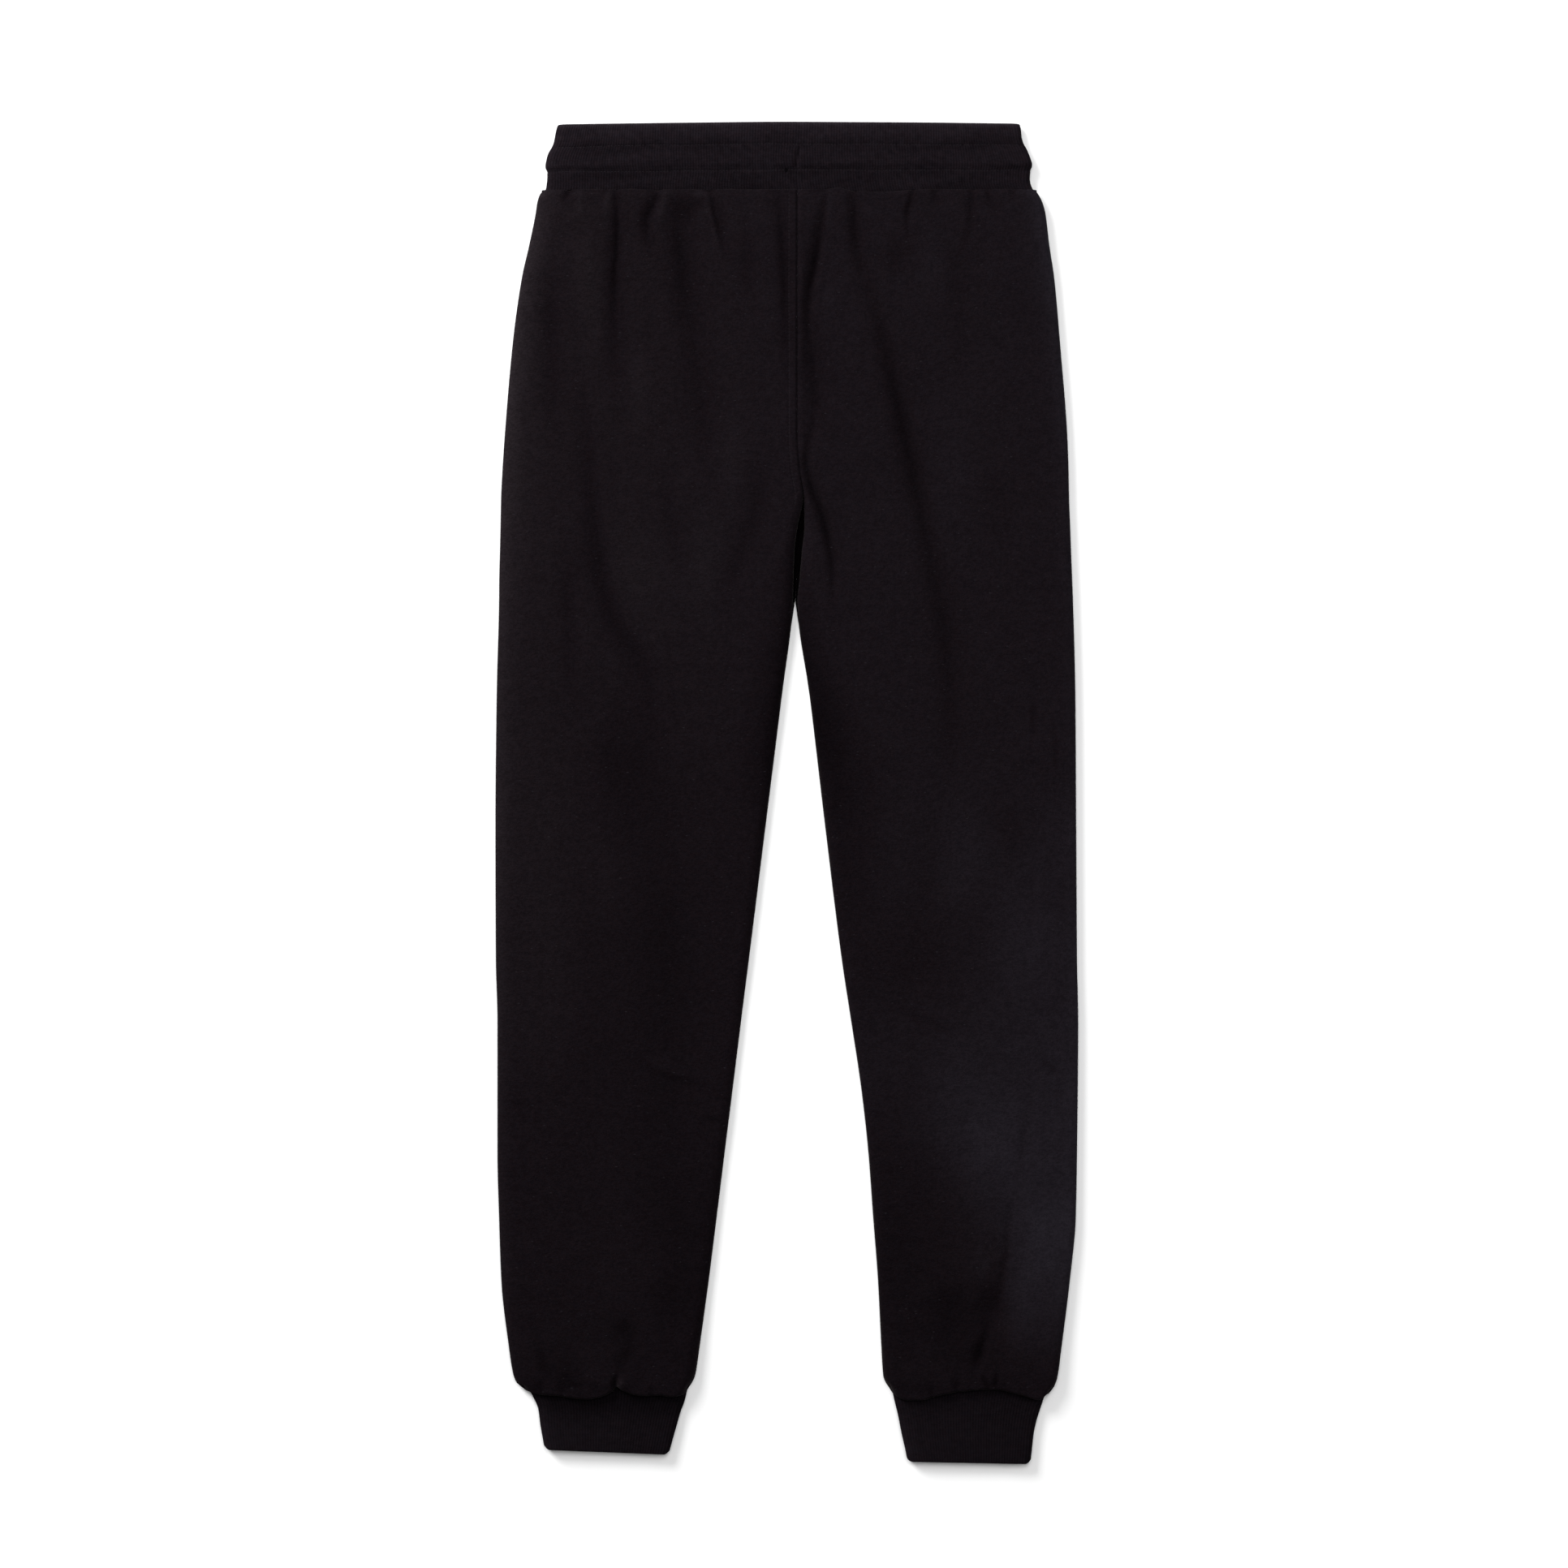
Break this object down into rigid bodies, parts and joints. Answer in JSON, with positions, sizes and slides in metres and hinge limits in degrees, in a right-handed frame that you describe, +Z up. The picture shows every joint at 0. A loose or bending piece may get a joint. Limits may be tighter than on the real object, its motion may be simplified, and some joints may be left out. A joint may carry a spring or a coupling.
{
  "type": "jogger sweatpants",
  "caption": "Plain black fleece jogger sweatpants lying flat, back side up, with a ribbed elastic waistband, gathered panels and ribbed ankle cuffs.",
  "frame": {"origin": "middle of the bounding box in X and Y, on the surface that the garment lies on", "axes": "+Y towards the waistband, +X towards the wearer's right as the garment lies back side up, +Z up out of the back of the garment"},
  "size_m": [0.4343, 1, 0.0125],
  "materials": {
    "fleece": "brushed-back fleece jersey, matt black with a soft nap",
    "rib_knit": "fine vertical rib knit, matt black"
  },
  "bodies": {
    "root": {"back_panel_left": "fleece", "back_panel_right": "fleece", "front_panel_left": "fleece", "front_panel_right": "fleece", "waistband": "rib_knit", "cuff_left": "rib_knit", "cuff_right": "rib_knit"}
  },
  "joints": []
}
